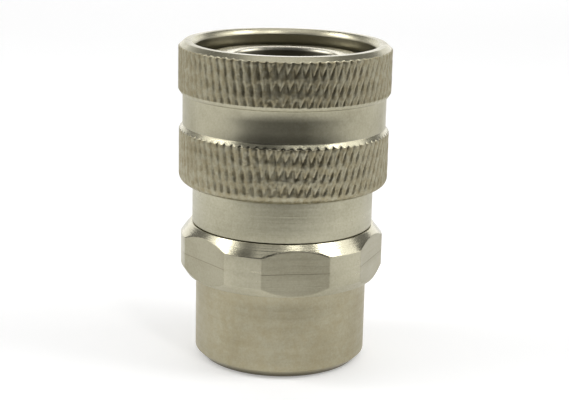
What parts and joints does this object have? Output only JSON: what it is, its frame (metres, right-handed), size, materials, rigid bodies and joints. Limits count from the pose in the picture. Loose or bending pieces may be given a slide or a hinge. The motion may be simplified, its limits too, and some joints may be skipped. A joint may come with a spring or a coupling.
{
  "type": "quick disconnect coupler",
  "caption": "Stainless ball-lock socket with a knurled pull-back sleeve, a hexagon for a spanner, a female pipe port and a shut-off valve inside.",
  "frame": {"origin": "centre of the threaded port's face, on the coupler's axis", "axes": "+Z along the axis towards the plug's mouth; -Y is the normal of one of the hexagon's flats"},
  "size_m": [0.035, 0.035, 0.0532],
  "materials": {
    "stainless": "turned and milled, satin, slightly stained",
    "sleeve_stainless": "satin, with a diamond knurl on both grip bands and polished chamfers",
    "spring_steel": "drawn, bright",
    "ball_steel": "ground and polished",
    "nitrile": "matt, black",
    "ptfe": "smooth, off-white"
  },
  "bodies": {
    "housing": {"threaded_adapter": "stainless", "valve_guide": "stainless", "coupler_body": "stainless", "body_seal_ring": "nitrile", "plug_seal_ring": "nitrile", "backup_ring": "ptfe", "retaining_ring": "spring_steel", "sleeve_spring": "spring_steel", "valve_spring": "spring_steel"},
    "washer": {"spring_washer": "spring_steel"},
    "sleeve": {"knurled_sleeve": "sleeve_stainless"},
    "poppet": {"valve_poppet": "stainless", "valve_seal_ring": "nitrile"},
    "ball_01": {"locking_ball_01": "ball_steel"},
    "ball_02": {"locking_ball_02": "ball_steel"},
    "ball_03": {"locking_ball_03": "ball_steel"},
    "ball_04": {"locking_ball_04": "ball_steel"},
    "ball_05": {"locking_ball_05": "ball_steel"},
    "ball_06": {"locking_ball_06": "ball_steel"},
    "ball_07": {"locking_ball_07": "ball_steel"},
    "ball_08": {"locking_ball_08": "ball_steel"},
    "ball_09": {"locking_ball_09": "ball_steel"},
    "ball_10": {"locking_ball_10": "ball_steel"}
  },
  "joints": [
    {"name": "sleeve_slide", "type": "slide", "parent": "housing", "child": "washer", "axis": [0, 0, -1], "range_m": [0, 0.0045], "stiffness_N_per_m": 1500, "springref_m": -0.006, "deforming": ["sleeve_spring"]},
    {"name": "sleeve_spin", "type": "hinge", "parent": "washer", "child": "sleeve", "pos_m": [0, 0, 0.0411], "axis": [0, 0, 1], "continuous": true},
    {"name": "poppet_slide", "type": "slide", "parent": "housing", "child": "poppet", "axis": [0, 0, -1], "range_m": [0, 0.0035], "stiffness_N_per_m": 900, "springref_m": -0.004, "deforming": ["valve_spring"]},
    {"name": "ball_01_slide", "type": "slide", "parent": "housing", "child": "ball_01", "axis": [0.9511, 0.309, 0], "range_m": [0, 0.001]},
    {"name": "ball_02_slide", "type": "slide", "parent": "housing", "child": "ball_02", "axis": [0.5878, 0.809, 0], "range_m": [0, 0.001]},
    {"name": "ball_03_slide", "type": "slide", "parent": "housing", "child": "ball_03", "axis": [0, 1, 0], "range_m": [0, 0.001]},
    {"name": "ball_04_slide", "type": "slide", "parent": "housing", "child": "ball_04", "axis": [-0.5878, 0.809, 0], "range_m": [0, 0.001]},
    {"name": "ball_05_slide", "type": "slide", "parent": "housing", "child": "ball_05", "axis": [-0.9511, 0.309, 0], "range_m": [0, 0.001]},
    {"name": "ball_06_slide", "type": "slide", "parent": "housing", "child": "ball_06", "axis": [-0.9511, -0.309, 0], "range_m": [0, 0.001]},
    {"name": "ball_07_slide", "type": "slide", "parent": "housing", "child": "ball_07", "axis": [-0.5878, -0.809, 0], "range_m": [0, 0.001]},
    {"name": "ball_08_slide", "type": "slide", "parent": "housing", "child": "ball_08", "axis": [0, -1, 0], "range_m": [0, 0.001]},
    {"name": "ball_09_slide", "type": "slide", "parent": "housing", "child": "ball_09", "axis": [0.5878, -0.809, 0], "range_m": [0, 0.001]},
    {"name": "ball_10_slide", "type": "slide", "parent": "housing", "child": "ball_10", "axis": [0.9511, -0.309, 0], "range_m": [0, 0.001]}
  ],
  "couplings": [
    {"joint": "ball_01_slide", "follows": "sleeve_slide", "ratio": 0.2222},
    {"joint": "ball_02_slide", "follows": "sleeve_slide", "ratio": 0.2222},
    {"joint": "ball_03_slide", "follows": "sleeve_slide", "ratio": 0.2222},
    {"joint": "ball_04_slide", "follows": "sleeve_slide", "ratio": 0.2222},
    {"joint": "ball_05_slide", "follows": "sleeve_slide", "ratio": 0.2222},
    {"joint": "ball_06_slide", "follows": "sleeve_slide", "ratio": 0.2222},
    {"joint": "ball_07_slide", "follows": "sleeve_slide", "ratio": 0.2222},
    {"joint": "ball_08_slide", "follows": "sleeve_slide", "ratio": 0.2222},
    {"joint": "ball_09_slide", "follows": "sleeve_slide", "ratio": 0.2222},
    {"joint": "ball_10_slide", "follows": "sleeve_slide", "ratio": 0.2222}
  ]
}
